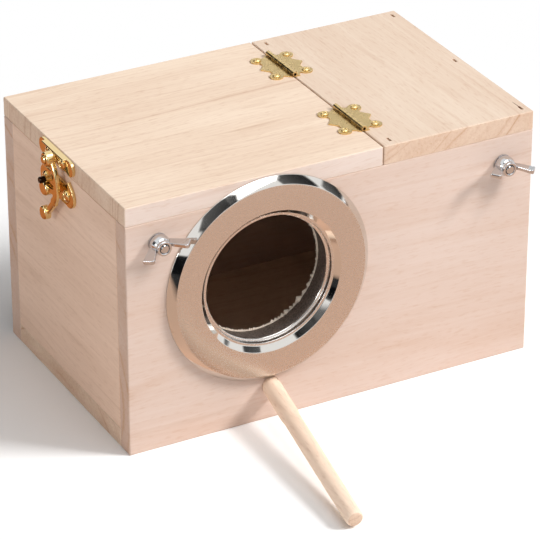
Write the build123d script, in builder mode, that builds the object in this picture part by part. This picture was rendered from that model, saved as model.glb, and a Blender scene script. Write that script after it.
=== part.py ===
from build123d import *
from math import asin, atan2, cos, degrees, radians, sin, sqrt
import os

# Wooden nesting box for small birds that bolts to the bars of a cage.
# Millimetres, +Z up, +X to the right along the front, +Y to the back.
# The origin is the middle of the underside, and the front face looks along -Y.

# Box of planed boards
box_length = 200.0
box_depth = 123.0
box_height = 120.0
board_thickness = 9.0
edge_ease = 0.35

# Top in two boards, a lid on the left and a nailed board on the right
lid_length = 124.1
seam_gap = 0.6

# Brads through the nailed board, each set at the bottom of a slit left by the driver
brad_inset_front = 5.2
brad_inset_end = 3.6
brad_inset_seam = 5.2
brad_slit_length = 3.4
brad_slit_width = 1.2
brad_slit_depth = 0.9
brad_head_length = 2.0
brad_head_width = 1.0
brad_head_height = 0.7
brad_wire_width = 0.9
brad_length = 18.0
brad_clearance = 0.05

# Round entrance in the front, measured from the left end and the top
entrance_from_left = 67.6
entrance_below_top = 50.0
entrance_radius = 29.8

# Pressed ring that guards the entrance, proud of the front by ring_height
ring_radius = 49.0
ring_height = 3.8
ring_sheet = 0.8
ring_rim = 0.5
ring_bevel = 3.2
ring_step_radius = 34.0
ring_lip_height = 1.1
ring_lip_width = 1.0
ring_collar_depth = 1.2

# Tube that lines the entrance behind the ring
sleeve_wall = 0.8
sleeve_depth = 7.6
sleeve_clearance = 0.05
sleeve_hole_clearance = 0.25
sleeve_screw_angle = 28.0
sleeve_screw_depth = 4.6
sleeve_screw_count = 2

# Perch, a glued dowel that leans down and to the left
perch_radius = 4.0
perch_reach = 98.0
perch_from_left = 68.7
perch_below_ring = 0.2
perch_lean_left = 6.7
perch_lean_down = 7.2
perch_seat_depth = 7.0
perch_glue_gap = 0.05
perch_end_ease = 0.3

# Bolts for the cage bars, measured from the left end and the top
left_bolt_from_left = 15.0
left_bolt_below_top = 19.2
right_bolt_from_left = 184.4
right_bolt_below_top = 22.2
bolt_radius = 1.95
bolt_reach = 7.5
bolt_hole_clearance = 0.2
bolt_head_radius = 4.0
bolt_head_height = 2.6
bolt_head_ease = 0.9
bolt_recess_length = 3.8
bolt_recess_width = 0.9
bolt_recess_depth = 1.2
bolt_end_ease = 0.35
washer_radius = 4.5
washer_thickness = 0.8
washer_clearance = 0.2

# Wing nuts
nut_hub_radius = 4.1
nut_top_radius = 3.1
nut_hub_height = 4.4
nut_thread_clearance = 0.08
wing_span = 23.2
wing_height = 12.6
wing_tip_rise = 4.0
wing_tip_lean = 3.4
wing_thickness = 1.9
wing_root_height = 0.7
wing_corner = 1.0
wing_root_reach = 2.5
wing_root_top = 4.0
nut_washer_gap = 0.02
left_nut_turn = 13.0
right_nut_turn = -5.0

# Butterfly hinges across the seam
hinge_spacing = 63.0
barrel_length = 26.0
barrel_radius = 1.3
knuckle_count = 5
knuckle_gap = 0.2
hinge_sheet = 0.6
hinge_pin_radius = 0.65
hinge_pin_clearance = 0.05
hinge_pin_recess = 1.4
leaf_tip_reach = 10.7
leaf_notch_reach = 7.6
leaf_notch_offset = 3.6
leaf_root_reach = 3.4
leaf_lobe_radius = 3.1
leaf_lobe_reach = 7.5
leaf_lobe_spacing = 18.6
leaf_knuckle_clearance = 0.3

# Round-head screws of the hinges and the sleeve, and larger ones of the latch
screw_head_radius = 1.85
screw_head_height = 1.1
latch_screw_head_radius = 2.8
latch_screw_head_height = 1.5
screw_head_slope = 0.45
screw_shank_radius = 0.8
screw_length = 7.0
screw_point_length = 1.6
screw_clearance = 0.1
recess_width = 0.45
recess_depth = 0.6

# Horn latch on the left end: a plate on the lid's edge carries the hook, and a
# plate on the end panel carries the peg that the hook catches from below.
# Latch sketches have their X towards the front and their Y up.
latch_offset_back = 3.2
latch_plate = 1.6
latch_edge_ease = 0.25
lid_plate_drop = 0.3
lid_plate_lobe_offset = 13.5
lid_plate_lobe_radius = 3.6
lid_plate_waist = 5.8
lid_plate_ledge = 0.7
lid_plate_ledge_length = 22.0
lid_plate_rise = 3.2
lid_plate_boss_radius = 2.75
lid_plate_screw_offset = 6.6
pivot_below_top = 3.9
body_plate_lobe_offset = 11.6
body_plate_lobe_radius = 5.3
body_plate_waist = 10.0
body_plate_below_lid = 9.0
body_plate_point = 1.5
body_plate_screw_offset = 10.6
peg_radius = 1.5
peg_reach = 8.5
peg_offset_back = 2.9
peg_below_pivot = 10.9
peg_end_ease = 0.4
hook_gap = 0.12
hook_eye_radius = 3.4
hook_eye_thickness = 3.8
hook_arm_thickness = 2.0
hook_arm_width = 3.4
hook_arm_bow = 6.0
hook_nose_width = 3.4
hook_nose_gap = 0.35
hook_bulb_half_width = 3.8
hook_bulb_half_height = 3.3
hook_bulb_thickness = 3.1
hook_heel_offset = 3.2
hook_heel_drop = 19.6
hook_heel_radius = 2.2
hook_tail_bend_offset = 0.9
hook_tail_bend_drop = 24.3
hook_tail_width = 3.2
hook_foot_offset = 5.5
hook_foot_drop = 28.4
hook_foot_radius = 3.2
hook_edge_ease = 0.5
rivet_radius = 1.0
rivet_clearance = 0.05
rivet_head_radius = 2.0
rivet_head_height = 0.6
rivet_head_round = 0.4
rivet_pocket_gap = 0.9

# Places worked out from the sizes above
half_length = box_length / 2
half_depth = box_depth / 2
entrance_height = box_height - entrance_below_top
perch_height = entrance_height - ring_radius - perch_below_ring - perch_radius
wall_height = box_height - board_thickness
inner_depth = box_depth - 2 * board_thickness
seam_x = lid_length - half_length
lid_right = seam_x - seam_gap / 2
fixed_left = seam_x + seam_gap / 2
hinge_axis_height = box_height + barrel_radius
hinge_middles = {"front": -hinge_spacing / 2, "rear": hinge_spacing / 2}
leaf_screw_offsets = [-leaf_lobe_spacing / 2, leaf_lobe_spacing / 2]
brad_top = box_height - brad_slit_depth
brad_places = [
    (fixed_left + brad_inset_seam, brad_inset_front - half_depth),
    (fixed_left + brad_inset_seam, half_depth - brad_inset_front),
    (half_length - brad_inset_end, brad_inset_front - half_depth),
    (half_length - brad_inset_end, half_depth - brad_inset_front),
    (half_length - brad_inset_end, 0),
]
hanging = (Align.CENTER, Align.CENTER, Align.MAX)
pilot_radius = screw_shank_radius + screw_clearance
pilot_depth = screw_length + screw_clearance - hinge_sheet
latch_pilot_depth = screw_length + screw_clearance - latch_plate
hook_bottom = lid_plate_rise + hook_gap
hook_top = hook_bottom + hook_eye_thickness
rivet_bore = rivet_radius + rivet_clearance

# Sketch planes: the front face seen from the front, and the left end seen from the left
front_plane = Plane(origin=(-half_length, -half_depth, 0), x_dir=(1, 0, 0), z_dir=(0, -1, 0))
latch_plane = Plane(
    origin=(-half_length, latch_offset_back, box_height), x_dir=(0, -1, 0), z_dir=(-1, 0, 0)
)
entrance_plane = Plane(
    origin=(entrance_from_left - half_length, -half_depth, entrance_height),
    x_dir=(1, 0, 0),
    z_dir=(0, -1, 0),
)
perch_direction = Vector(
    -sin(radians(perch_lean_left)) * cos(radians(perch_lean_down)),
    -cos(radians(perch_lean_left)) * cos(radians(perch_lean_down)),
    -sin(radians(perch_lean_down)),
)
perch_plane = Plane(
    origin=(perch_from_left - half_length, -half_depth, perch_height),
    x_dir=(1, 0, 0),
    z_dir=perch_direction,
)
bolt_places = {
    "left": (left_bolt_from_left, box_height - left_bolt_below_top),
    "right": (right_bolt_from_left, box_height - right_bolt_below_top),
}

sleeve_inner = entrance_radius + ring_lip_width + sleeve_clearance
sleeve_outer = sleeve_inner + sleeve_wall
entrance_hole = sleeve_outer + sleeve_hole_clearance

os.makedirs("parts", exist_ok=True)


def save(piece, node_name):
    """Label a finished piece and write it to its own file."""
    piece.part.label = node_name
    export_step(piece.part, f"parts/{node_name}.step")


def ease_board_edges(board):
    """Break the sharp arrises of a planed board."""
    chamfer(board.edges(), edge_ease)


def cut_brad_holes():
    """Cut the brads' holes into the board that is being made."""
    for place in brad_places:
        with Locations((*place, box_height)):
            Box(brad_slit_width, brad_slit_length, brad_slit_depth, align=hanging, mode=Mode.SUBTRACT)
        with Locations((*place, brad_top)):
            Box(
                brad_head_width + 2 * brad_clearance,
                brad_head_length + 2 * brad_clearance,
                brad_head_height,
                align=hanging,
                mode=Mode.SUBTRACT,
            )
            Box(
                brad_wire_width + 2 * brad_clearance,
                brad_wire_width + 2 * brad_clearance,
                brad_length + brad_clearance,
                align=hanging,
                mode=Mode.SUBTRACT,
            )


def screw_planes_on_leaf(side):
    """Planes at the screw holes of both leaves on one side of the seam, at the wood."""
    return [
        Plane(origin=(seam_x + side * leaf_lobe_reach, middle + offset, box_height))
        for middle in hinge_middles.values()
        for offset in leaf_screw_offsets
    ]


def latch_screw_planes(offset, height):
    """Planes at a pair of latch screws, with X to the front and Z out of the wood."""
    return [
        Plane(
            origin=latch_plane.from_local_coords((place, height, 0)),
            x_dir=latch_plane.x_dir,
            z_dir=latch_plane.z_dir,
        )
        for place in (-offset, offset)
    ]


def sleeve_screw_planes():
    """Planes on the sleeve's inner wall at its screws, with Z towards the entrance's axis."""
    planes = []
    for number in range(sleeve_screw_count):
        angle = radians(sleeve_screw_angle + number * 360.0 / sleeve_screw_count)
        outward = Vector(cos(angle), 0, sin(angle))
        centre = entrance_plane.origin + Vector(0, sleeve_screw_depth, 0)
        planes.append(Plane(origin=centre + outward * sleeve_inner, x_dir=(0, 1, 0), z_dir=-outward))
    return planes


def screws(planes, seat_height, head_radius, head_height):
    """Round-head wood screws whose heads stand on a plate of the given thickness."""
    crown_radius = head_radius * (1 - screw_head_slope)
    with BuildPart() as group:
        for plane in planes:
            turned = Plane(origin=plane.origin, x_dir=plane.x_dir, z_dir=-plane.y_dir)
            top = seat_height + head_height
            tip = seat_height - screw_length
            with BuildSketch(turned):
                Polygon(
                    (0, top),
                    (0, tip),
                    (screw_shank_radius, tip + screw_point_length),
                    (screw_shank_radius, seat_height),
                    (head_radius, seat_height),
                    (head_radius, seat_height + head_height * screw_head_slope),
                    (crown_radius, top),
                    align=None,
                )
            revolve(axis=Axis(plane.origin, plane.z_dir))
            with BuildSketch(plane.offset(top - recess_depth)):
                Rectangle(head_radius, recess_width)
                Rectangle(recess_width, head_radius)
            extrude(amount=recess_depth, mode=Mode.SUBTRACT)
    return group


# Front panel with its entrance, perch seat and bolt holes
with BuildPart() as front_panel:
    with BuildSketch(Plane.XY):
        with Locations((0, -half_depth + board_thickness / 2)):
            Rectangle(box_length, board_thickness)
    extrude(amount=wall_height)
    ease_board_edges(front_panel)
    with BuildSketch(entrance_plane):
        Circle(entrance_hole)
    extrude(amount=-board_thickness, mode=Mode.SUBTRACT)
    with BuildSketch(perch_plane.offset(-perch_seat_depth)):
        Circle(perch_radius + perch_glue_gap)
    extrude(amount=2 * perch_seat_depth, mode=Mode.SUBTRACT)
    with BuildSketch(front_plane):
        with Locations(*bolt_places.values()):
            Circle(bolt_radius + bolt_hole_clearance)
    extrude(amount=-board_thickness, mode=Mode.SUBTRACT)
    for pilot_plane in sleeve_screw_planes():
        with BuildSketch(pilot_plane):
            Circle(pilot_radius)
        extrude(amount=-screw_length - screw_clearance, mode=Mode.SUBTRACT)
    cut_brad_holes()
save(front_panel, "front_panel")

with BuildPart() as back_panel:
    with BuildSketch(Plane.XY):
        with Locations((0, half_depth - board_thickness / 2)):
            Rectangle(box_length, board_thickness)
    extrude(amount=wall_height)
    ease_board_edges(back_panel)
    cut_brad_holes()
save(back_panel, "back_panel")

with BuildPart() as floor_board:
    with BuildSketch(Plane.XY):
        Rectangle(box_length, inner_depth)
    extrude(amount=board_thickness)
    ease_board_edges(floor_board)
save(floor_board, "floor_board")

# End panels stand on the floor board, between the front and back panels
with BuildPart() as left_end_panel:
    with BuildSketch(Plane.XY.offset(board_thickness)):
        with Locations((-half_length + board_thickness / 2, 0)):
            Rectangle(board_thickness, inner_depth)
    extrude(amount=wall_height - board_thickness)
    ease_board_edges(left_end_panel)
    for pilot_plane in latch_screw_planes(
        body_plate_screw_offset, -board_thickness - body_plate_below_lid
    ):
        with BuildSketch(pilot_plane):
            Circle(pilot_radius)
        extrude(amount=-latch_pilot_depth, mode=Mode.SUBTRACT)
save(left_end_panel, "left_end_panel")

with BuildPart() as right_end_panel:
    with BuildSketch(Plane.XY.offset(board_thickness)):
        with Locations((half_length - board_thickness / 2, 0)):
            Rectangle(board_thickness, inner_depth)
    extrude(amount=wall_height - board_thickness)
    ease_board_edges(right_end_panel)
    cut_brad_holes()
save(right_end_panel, "right_end_panel")

# Nailed board on the right of the top
with BuildPart() as fixed_top:
    with BuildSketch(Plane.XY.offset(wall_height)):
        with Locations(((fixed_left + half_length) / 2, 0)):
            Rectangle(half_length - fixed_left, box_depth)
    extrude(amount=board_thickness)
    ease_board_edges(fixed_top)
    for pilot_plane in screw_planes_on_leaf(1):
        with BuildSketch(pilot_plane):
            Circle(pilot_radius)
        extrude(amount=-pilot_depth, mode=Mode.SUBTRACT)
    cut_brad_holes()
save(fixed_top, "fixed_top")

with BuildPart() as top_brads:
    for place in brad_places:
        with Locations((*place, brad_top)):
            Box(brad_head_width, brad_head_length, brad_head_height, align=hanging)
            Box(brad_wire_width, brad_wire_width, brad_length, align=hanging)
save(top_brads, "top_brads")

# Lid on the left of the top
with BuildPart() as lid:
    with BuildSketch(Plane.XY.offset(wall_height)):
        with Locations(((lid_right - half_length) / 2, 0)):
            Rectangle(lid_right + half_length, box_depth)
    extrude(amount=board_thickness)
    ease_board_edges(lid)
    for pilot_plane in screw_planes_on_leaf(-1):
        with BuildSketch(pilot_plane):
            Circle(pilot_radius)
        extrude(amount=-pilot_depth, mode=Mode.SUBTRACT)
    for pilot_plane in latch_screw_planes(lid_plate_screw_offset, -pivot_below_top):
        with BuildSketch(pilot_plane):
            Circle(pilot_radius)
        extrude(amount=-latch_pilot_depth, mode=Mode.SUBTRACT)
    with BuildSketch(latch_plane):
        with Locations((0, -pivot_below_top)):
            Circle(rivet_head_radius)
    extrude(amount=-rivet_head_height - rivet_pocket_gap, mode=Mode.SUBTRACT)
save(lid, "lid")


def knuckle_spans(first):
    """Every second knuckle along the barrel, as pairs of ends from its middle."""
    pitch = (barrel_length + knuckle_gap) / knuckle_count
    spans = []
    for number in range(first, knuckle_count, 2):
        start = -barrel_length / 2 + number * pitch
        spans.append((start, start + pitch - knuckle_gap))
    return spans


def hinge_leaf(side, middle, first):
    """One butterfly leaf with its knuckles; side is 1 over the nailed board and -1 over the lid."""
    bore = hinge_pin_radius + hinge_pin_clearance
    barrel_plane = Plane(origin=(seam_x, middle, hinge_axis_height), x_dir=(1, 0, 0), z_dir=(0, 1, 0))
    with BuildPart() as leaf:
        with BuildSketch(Plane(origin=(seam_x, middle, box_height))):
            with BuildLine():
                Polyline(
                    (0, barrel_length / 2),
                    (side * barrel_radius, barrel_length / 2),
                    (side * leaf_root_reach, leaf_lobe_spacing / 2 + leaf_lobe_radius / 2),
                    (side * leaf_lobe_reach, leaf_lobe_spacing / 2),
                    (side * leaf_notch_reach, leaf_notch_offset),
                    (side * leaf_tip_reach, 0),
                    (side * leaf_notch_reach, -leaf_notch_offset),
                    (side * leaf_lobe_reach, -leaf_lobe_spacing / 2),
                    (side * leaf_root_reach, -leaf_lobe_spacing / 2 - leaf_lobe_radius / 2),
                    (side * barrel_radius, -barrel_length / 2),
                    (0, -barrel_length / 2),
                    close=True,
                )
            make_face()
            with Locations(*[(side * leaf_lobe_reach, offset) for offset in leaf_screw_offsets]):
                Circle(leaf_lobe_radius)
            with Locations(*[(side * leaf_lobe_reach, offset) for offset in leaf_screw_offsets]):
                Circle(pilot_radius, mode=Mode.SUBTRACT)
        extrude(amount=hinge_sheet)
        with BuildSketch(barrel_plane.offset(-barrel_length / 2)):
            Circle(barrel_radius + leaf_knuckle_clearance)
        extrude(amount=barrel_length, mode=Mode.SUBTRACT)
        for start, end in knuckle_spans(first):
            with BuildSketch(barrel_plane.offset(start)):
                Circle(barrel_radius)
            extrude(amount=end - start)
            with BuildSketch(Plane(origin=(seam_x, middle, box_height))):
                with Locations((side * barrel_radius, (start + end) / 2)):
                    Rectangle(2 * barrel_radius, end - start)
            extrude(amount=hinge_sheet)
        with BuildSketch(barrel_plane.offset(-barrel_length / 2)):
            Circle(bore)
        extrude(amount=barrel_length, mode=Mode.SUBTRACT)
    return leaf


# Both hinges, each with two leaves and a pin that stops short of the barrel's ends
for hinge_name, hinge_middle in hinge_middles.items():
    fixed_leaf = hinge_leaf(1, hinge_middle, 0)
    save(fixed_leaf, f"{hinge_name}_hinge_fixed_leaf")
    lid_leaf = hinge_leaf(-1, hinge_middle, 1)
    save(lid_leaf, f"{hinge_name}_hinge_lid_leaf")
    pin_length = barrel_length - 2 * hinge_pin_recess
    with BuildPart() as hinge_pin:
        with BuildSketch(
            Plane(
                origin=(seam_x, hinge_middle - pin_length / 2, hinge_axis_height),
                x_dir=(1, 0, 0),
                z_dir=(0, 1, 0),
            )
        ):
            Circle(hinge_pin_radius)
        extrude(amount=pin_length)
    save(hinge_pin, f"{hinge_name}_hinge_pin")

fixed_leaf_screws = screws(
    screw_planes_on_leaf(1), hinge_sheet, screw_head_radius, screw_head_height
)
save(fixed_leaf_screws, "fixed_leaf_screws")
lid_leaf_screws = screws(
    screw_planes_on_leaf(-1), hinge_sheet, screw_head_radius, screw_head_height
)
save(lid_leaf_screws, "lid_leaf_screws")

# Upper plate of the latch, cast with two screw lobes, a raised pivot boss and a top ledge
with BuildPart() as latch_lid_plate:
    with BuildSketch(latch_plane):
        with Locations((0, -lid_plate_drop)):
            Rectangle(
                2 * lid_plate_lobe_offset,
                pivot_below_top - lid_plate_drop + lid_plate_waist / 2,
                align=(Align.CENTER, Align.MAX),
            )
        with Locations((-lid_plate_lobe_offset, -pivot_below_top), (lid_plate_lobe_offset, -pivot_below_top)):
            Circle(lid_plate_lobe_radius)
    extrude(amount=latch_plate)
    with BuildSketch(latch_plane):
        with Locations((0, -pivot_below_top)):
            Circle(lid_plate_boss_radius)
        with Locations((0, -lid_plate_drop)):
            Rectangle(lid_plate_ledge_length, lid_plate_ledge, align=(Align.CENTER, Align.MAX))
    extrude(amount=lid_plate_rise)
    chamfer(latch_lid_plate.faces().group_by(Axis.X)[0].edges(), latch_edge_ease)
    with BuildSketch(latch_plane):
        with Locations((0, -pivot_below_top)):
            Circle(rivet_bore)
        with Locations((-lid_plate_screw_offset, -pivot_below_top), (lid_plate_screw_offset, -pivot_below_top)):
            Circle(pilot_radius)
    extrude(amount=lid_plate_rise, mode=Mode.SUBTRACT)
save(latch_lid_plate, "latch_lid_plate")

# Lower plate of the latch, two round lobes that come to a point above, with the peg's seat
body_plate_middle = -board_thickness - body_plate_below_lid
peg_place = (-peg_offset_back, -pivot_below_top - peg_below_pivot)
with BuildPart() as latch_body_plate:
    with BuildSketch(latch_plane):
        with Locations((0, body_plate_middle)):
            Rectangle(2 * body_plate_lobe_offset, body_plate_waist)
        with Locations(
            (-body_plate_lobe_offset, body_plate_middle), (body_plate_lobe_offset, body_plate_middle)
        ):
            Circle(body_plate_lobe_radius)
        for lobe_side in (-1, 1):
            with Locations((lobe_side * body_plate_lobe_offset, body_plate_middle)):
                Polygon(
                    (-body_plate_lobe_radius * cos(radians(45)), body_plate_lobe_radius * sin(radians(45))),
                    (body_plate_lobe_radius * cos(radians(45)), body_plate_lobe_radius * sin(radians(45))),
                    (0, body_plate_lobe_radius + body_plate_point),
                    align=None,
                )
    extrude(amount=latch_plate)
    chamfer(latch_body_plate.faces().sort_by(Axis.X)[0].edges(), latch_edge_ease)
    with BuildSketch(latch_plane):
        with Locations(peg_place):
            Circle(peg_radius)
        with Locations(
            (-body_plate_screw_offset, body_plate_middle), (body_plate_screw_offset, body_plate_middle)
        ):
            Circle(pilot_radius)
    extrude(amount=latch_plate, mode=Mode.SUBTRACT)
save(latch_body_plate, "latch_body_plate")

# Peg, riveted into the lower plate
with BuildPart() as latch_peg:
    with BuildSketch(latch_plane):
        with Locations(peg_place):
            Circle(peg_radius)
    extrude(amount=peg_reach)
    chamfer(latch_peg.faces().sort_by(Axis.X)[0].edges(), peg_end_ease)
save(latch_peg, "latch_peg")

# Swinging hook: a thick eye at the pivot, an arm that bows to the front, a heel, a tail that
# runs back to a round finger tab, and a nose that reaches under the peg on an arc about the
# pivot and ends in a thick bulb. The stretches run into each other as in one casting.
pivot = (0, -pivot_below_top)
nose_inner = sqrt(peg_offset_back**2 + peg_below_pivot**2) + peg_radius + hook_nose_gap
nose_middle = nose_inner + hook_nose_width / 2
peg_angle = degrees(atan2(peg_offset_back, peg_below_pivot))
nose_root_angle = degrees(asin(hook_arm_bow / nose_middle))
bulb_distance = nose_inner + hook_bulb_half_height
bulb = (
    -bulb_distance * sin(radians(peg_angle)),
    pivot[1] - bulb_distance * cos(radians(peg_angle)),
)
heel = (hook_heel_offset, pivot[1] - hook_heel_drop)
tail_bend = (-hook_tail_bend_offset, pivot[1] - hook_tail_bend_drop)
foot = (-hook_foot_offset, pivot[1] - hook_foot_drop)
hook_plane = latch_plane.offset(hook_bottom)


def cast_stretch(outline, thickness):
    """A stretch of the hook with the given outline and eased outer edges."""
    with BuildPart() as stretch:
        extrude(outline.sketch, amount=thickness)
        chamfer(stretch.faces().sort_by(Axis.X)[0].edges(), hook_edge_ease)
    return stretch.part


def cast_strip(path, width):
    """A strip of the hook of one width along a path of one arc."""
    with BuildSketch(hook_plane) as outline:
        with BuildLine():
            add(path)
        trace(line_width=width)
    return cast_stretch(outline, hook_arm_thickness)


def cast_round(place, radius, thickness):
    """A round of the hook."""
    with BuildSketch(hook_plane) as outline:
        with Locations(place):
            Circle(radius)
    return cast_stretch(outline, thickness)


with BuildSketch(hook_plane) as bulb_outline:
    with Locations(bulb):
        Ellipse(hook_bulb_half_width, hook_bulb_half_height)
arm_path = ThreePointArc(pivot, (hook_arm_bow, (pivot[1] + heel[1]) / 2), heel)
tail_path = ThreePointArc(heel, tail_bend, foot)
nose_path = CenterArc(pivot, nose_middle, -90 - peg_angle, peg_angle + nose_root_angle)

with BuildPart() as latch_hook:
    add(cast_round(pivot, hook_eye_radius, hook_eye_thickness))
    add(cast_strip(arm_path, hook_arm_width))
    add(cast_round(heel, hook_heel_radius, hook_arm_thickness))
    add(cast_strip(tail_path, hook_tail_width))
    add(cast_round(foot, hook_foot_radius, hook_bulb_thickness))
    add(cast_strip(nose_path, hook_nose_width))
    add(cast_stretch(bulb_outline, hook_bulb_thickness))
    with BuildSketch(hook_plane):
        with Locations(pivot):
            Circle(rivet_bore)
    extrude(amount=hook_eye_thickness, mode=Mode.SUBTRACT)
save(latch_hook, "latch_hook")

# Rivet with a domed head outside the hook and a peened head sunk in the lid's edge
with BuildPart() as latch_rivet:
    with BuildSketch(latch_plane):
        with Locations(pivot):
            Circle(rivet_radius)
    extrude(amount=hook_top + hook_gap)
    with BuildSketch(latch_plane.offset(-rivet_clearance)):
        with Locations(pivot):
            Circle(rivet_head_radius - rivet_clearance)
    extrude(amount=-rivet_head_height)
    with BuildSketch(latch_plane):
        with Locations(pivot):
            Circle(rivet_radius)
    extrude(amount=-rivet_head_height)
    with BuildSketch(latch_plane.offset(hook_top + hook_gap)):
        with Locations(pivot):
            Circle(rivet_head_radius)
    extrude(amount=rivet_head_height)
    chamfer(latch_rivet.faces().sort_by(Axis.X)[0].edges(), rivet_head_round)
save(latch_rivet, "latch_rivet")

latch_lid_screws = screws(
    latch_screw_planes(lid_plate_screw_offset, -pivot_below_top),
    latch_plate,
    latch_screw_head_radius,
    latch_screw_head_height,
)
save(latch_lid_screws, "latch_lid_screws")
latch_body_screws = screws(
    latch_screw_planes(body_plate_screw_offset, body_plate_middle),
    latch_plate,
    latch_screw_head_radius,
    latch_screw_head_height,
)
save(latch_body_screws, "latch_body_screws")

# Pressed ring: a rim on the wood, a polished bevel, a flat face, and a polished cone that
# dips to the lip and turns into a short collar inside the sleeve
ring_lip_radius = entrance_radius + ring_lip_width
with BuildPart() as entrance_ring:
    with BuildSketch(Plane(origin=entrance_plane.origin, x_dir=(1, 0, 0), z_dir=(0, 0, 1))):
        with BuildLine():
            Polyline(
                (ring_radius, 0),
                (ring_radius, -ring_rim),
                (ring_radius - ring_bevel, -ring_height),
                (ring_step_radius, -ring_height),
                (ring_lip_radius, -ring_lip_height - ring_sheet / 2),
                (entrance_radius + ring_sheet / 2, -ring_lip_height - ring_sheet / 2),
                (entrance_radius, -ring_lip_height),
                (entrance_radius, ring_collar_depth),
                (ring_lip_radius, ring_collar_depth),
                (ring_lip_radius, -ring_lip_height + ring_sheet / 2),
                (ring_step_radius + ring_sheet / 2, -ring_height + ring_sheet),
                (ring_radius - ring_bevel - ring_sheet / 2, -ring_height + ring_sheet),
                (ring_radius - ring_sheet, 0),
                close=True,
            )
        make_face()
    revolve(axis=Axis(entrance_plane.origin, (0, 1, 0)))
save(entrance_ring, "entrance_ring")

with BuildPart() as entrance_sleeve:
    with BuildSketch(entrance_plane):
        Circle(sleeve_outer)
        Circle(sleeve_inner, mode=Mode.SUBTRACT)
    extrude(amount=-sleeve_depth)
    for pilot_plane in sleeve_screw_planes():
        with BuildSketch(pilot_plane):
            Circle(pilot_radius)
        extrude(amount=-2 * sleeve_wall, mode=Mode.SUBTRACT)
save(entrance_sleeve, "entrance_sleeve")

# The flat seat of a screw head clears the curved wall at the head's edge
sleeve_screw_seat = sleeve_inner - sqrt(sleeve_inner**2 - screw_head_radius**2) + sleeve_clearance
sleeve_screws = screws(
    sleeve_screw_planes(), sleeve_screw_seat, screw_head_radius, screw_head_height
)
save(sleeve_screws, "sleeve_screws")

# Perch
with BuildPart() as perch:
    with BuildSketch(perch_plane.offset(-perch_seat_depth + perch_glue_gap)):
        Circle(perch_radius)
    extrude(amount=perch_seat_depth - perch_glue_gap + perch_reach)
    chamfer(perch.edges().filter_by(GeomType.CIRCLE), perch_end_ease)
save(perch, "perch")


def bolt_plane(place):
    """Plane on the front face at a bolt, with Z out of the front."""
    return Plane(
        origin=front_plane.from_local_coords((*place, 0)), x_dir=front_plane.x_dir, z_dir=front_plane.z_dir
    )


def washer(seat):
    """Flat washer that lies on the given plane."""
    with BuildPart() as ring:
        with BuildSketch(seat):
            Circle(washer_radius)
            Circle(bolt_radius + washer_clearance, mode=Mode.SUBTRACT)
        extrude(amount=washer_thickness)
    return ring


def wing_nut(seat, turn):
    """Wing nut on the given plane, with its wings turned from level by an angle."""
    half_span = wing_span / 2
    along = seat.x_dir * cos(radians(turn)) + seat.y_dir * sin(radians(turn))
    with BuildPart() as nut:
        with BuildSketch(Plane(origin=seat.origin, x_dir=along, z_dir=along.cross(seat.z_dir))):
            Polygon(
                (0, 0),
                (nut_hub_radius, 0),
                (nut_hub_radius, wing_root_height),
                (nut_top_radius, nut_hub_height),
                (0, nut_hub_height),
                align=None,
            )
        revolve(axis=Axis(seat.origin, seat.z_dir))
        for outward in (along, -along):
            with BuildSketch(Plane(origin=seat.origin, x_dir=outward, z_dir=outward.cross(seat.z_dir))):
                wing = Polygon(
                    (wing_root_reach, wing_root_height),
                    (nut_hub_radius, wing_root_height),
                    (half_span, wing_height - wing_tip_rise),
                    (half_span - wing_tip_lean, wing_height),
                    (wing_root_reach, wing_root_top),
                    align=None,
                )
                fillet(wing.vertices().group_by(Axis.Y)[-1], wing_corner)
            extrude(amount=wing_thickness / 2, both=True)
        with BuildSketch(seat):
            Circle(bolt_radius + nut_thread_clearance)
        extrude(amount=wing_height, mode=Mode.SUBTRACT)
    return nut


# Each cage bolt passes from inside through a washer and the panel, and carries outside a
# washer and a wing nut
nut_turns = {"left": left_nut_turn, "right": right_nut_turn}
for bolt_side, bolt_place in bolt_places.items():
    outside = bolt_plane(bolt_place)
    inside = outside.offset(-board_thickness)
    with BuildPart() as cage_bolt:
        with BuildSketch(inside.offset(-washer_thickness)):
            Circle(bolt_radius)
        extrude(amount=washer_thickness + board_thickness + bolt_reach)
        chamfer(cage_bolt.faces().sort_by(Axis.Y)[0].edges(), bolt_end_ease)
        with BuildSketch(inside.offset(-washer_thickness)):
            Circle(bolt_head_radius)
        extrude(amount=-bolt_head_height)
        chamfer(cage_bolt.faces().sort_by(Axis.Y)[-1].edges(), bolt_head_ease)
        with BuildSketch(inside.offset(-washer_thickness - bolt_head_height)):
            Rectangle(bolt_recess_length, bolt_recess_width)
            Rectangle(bolt_recess_width, bolt_recess_length)
        extrude(amount=bolt_recess_depth, mode=Mode.SUBTRACT)
    save(cage_bolt, f"{bolt_side}_bolt")
    save(washer(inside.offset(-washer_thickness)), f"{bolt_side}_inner_washer")
    save(washer(outside), f"{bolt_side}_outer_washer")
    nut_seat = outside.offset(washer_thickness + nut_washer_gap)
    save(wing_nut(nut_seat, nut_turns[bolt_side]), f"{bolt_side}_wing_nut")
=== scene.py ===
"""Dresses a packed bird nesting box: planed wood, a pressed steel ring, plated hardware and a studio.

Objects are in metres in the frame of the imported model: the front faces -Y and Z is up. Outlines
and sizes in the code are in millimetres and pass through MM or a frame matrix. Run as a script.
"""

import math
import random

import bmesh
import bpy
from mathutils import Matrix, Vector


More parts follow.
